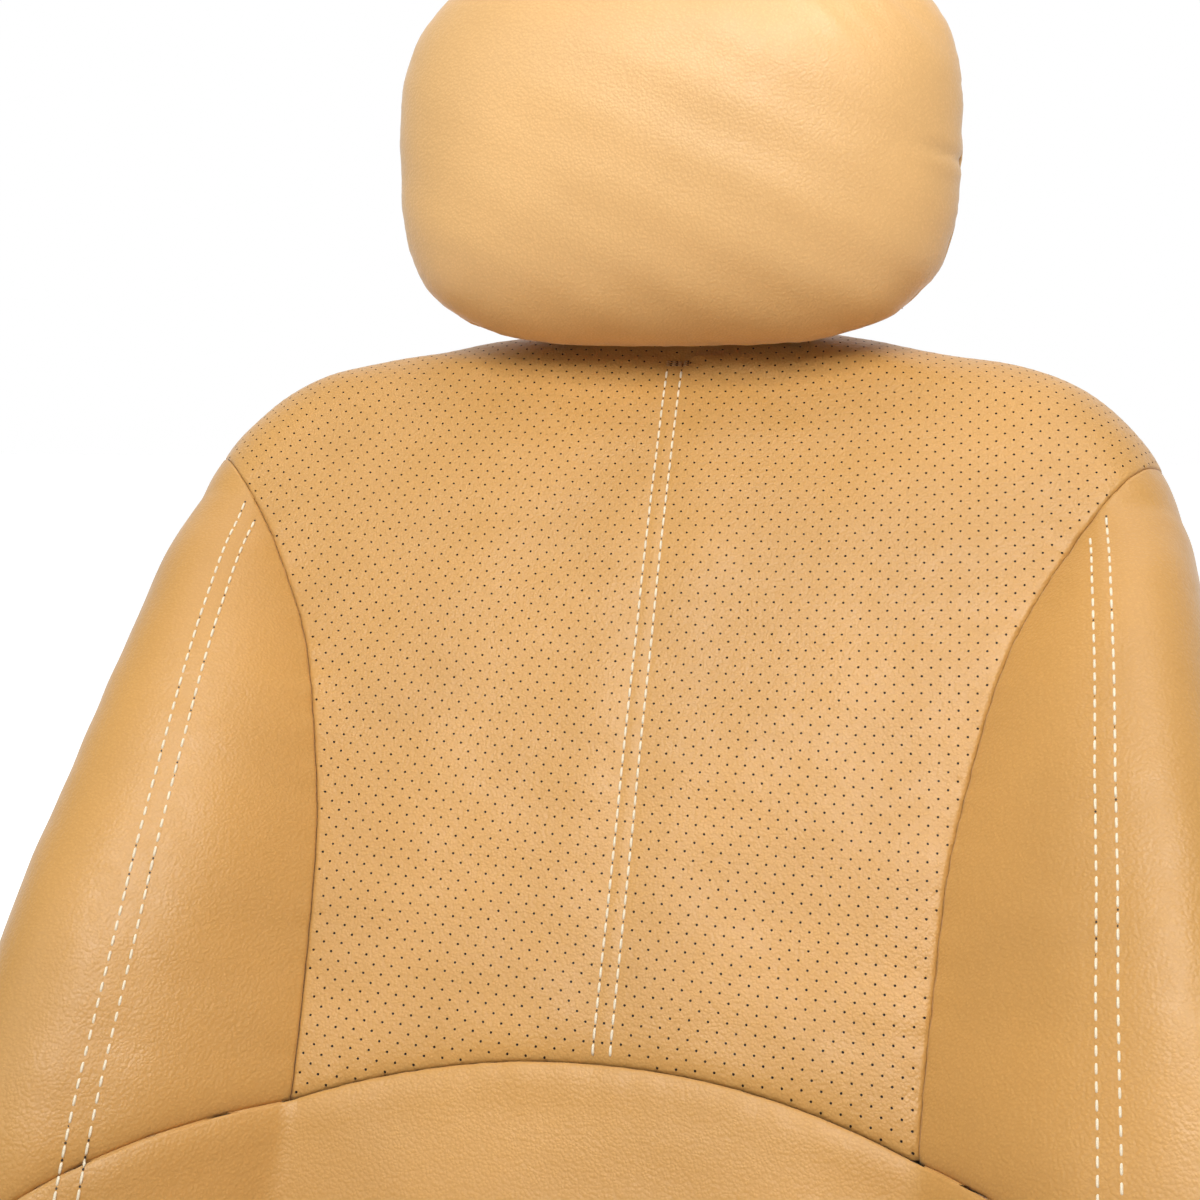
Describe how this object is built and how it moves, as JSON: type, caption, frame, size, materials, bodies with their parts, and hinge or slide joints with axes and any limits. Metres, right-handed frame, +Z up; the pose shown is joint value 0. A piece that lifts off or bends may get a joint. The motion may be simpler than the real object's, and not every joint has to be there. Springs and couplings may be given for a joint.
{
  "type": "seat cover set",
  "caption": "Fitted leatherette cover set for a bucket seat: perforated backrest cover with side bolsters, headrest cover and seat cushion cover with tuck flap.",
  "frame": {"origin": "centre of the set's outline in plan, at the height of the cushion cover's hem", "axes": "+X across the seat towards a viewer's right, +Y towards the rear of the seat, +Z up; the seat faces -Y"},
  "size_m": [0.5348, 0.8149, 0.893],
  "materials": {
    "leatherette": "satin",
    "knit_backing": "matt",
    "hook_and_loop": "matt",
    "plated_steel": "satin"
  },
  "bodies": {
    "cushion_cover": {"cushion_center_panel": "leatherette", "cushion_left_bolster_panel": "leatherette", "cushion_right_bolster_panel": "leatherette", "cushion_front_panel": "leatherette", "cushion_left_skirt": "leatherette", "cushion_right_skirt": "leatherette", "cushion_front_skirt": "leatherette", "cushion_tuck_flap": "leatherette", "cushion_hem_binding": "hook_and_loop", "cushion_left_strap": "hook_and_loop", "cushion_right_strap": "hook_and_loop"},
    "backrest_cover": {"backrest_center_panel": "leatherette", "backrest_left_bolster_panel": "leatherette", "backrest_right_bolster_panel": "leatherette", "backrest_lumbar_panel": "leatherette", "backrest_left_side_panel": "leatherette", "backrest_right_side_panel": "leatherette", "backrest_rear_yoke": "leatherette", "backrest_tail_flap": "leatherette", "backrest_rear_panel": "knit_backing", "backrest_map_pocket": "knit_backing", "backrest_loop_tape": "hook_and_loop", "map_pocket_binding": "hook_and_loop"},
    "headrest_cover": {"headrest_front_panel": "leatherette", "headrest_rear_panel": "leatherette", "headrest_side_band": "leatherette", "headrest_front_flap": "leatherette", "headrest_rear_flap": "leatherette", "headrest_hook_tape": "hook_and_loop", "headrest_loop_tape": "hook_and_loop", "headrest_left_post_grommet": "plated_steel", "headrest_right_post_grommet": "plated_steel"},
    "closure_flap": {"backrest_closure_flap": "leatherette", "backrest_hook_tape": "hook_and_loop"},
    "left_hook": {"cushion_left_strap_hook": "plated_steel"},
    "right_hook": {"cushion_right_strap_hook": "plated_steel"}
  },
  "joints": [
    {"name": "recline", "type": "hinge", "parent": "cushion_cover", "child": "backrest_cover", "pos_m": [0, 0.101, 0.14], "axis": [-1, 0, 0], "range_deg": [-5, 30]},
    {"name": "headrest_height", "type": "slide", "parent": "backrest_cover", "child": "headrest_cover", "axis": [0, 0.5, 0.866], "range_m": [0, 0.045]},
    {"name": "closure", "type": "hinge", "parent": "backrest_cover", "child": "closure_flap", "pos_m": [0, 0.1573, 0.1636], "axis": [1, 0, 0], "range_deg": [0, 100]},
    {"name": "left_hook_swing", "type": "hinge", "parent": "cushion_cover", "child": "left_hook", "pos_m": [-0.105, 0.074, 0.0722], "axis": [1, 0, 0], "range_deg": [-40, 40]},
    {"name": "right_hook_swing", "type": "hinge", "parent": "cushion_cover", "child": "right_hook", "pos_m": [0.105, 0.074, 0.0722], "axis": [1, 0, 0], "range_deg": [-40, 40]}
  ]
}
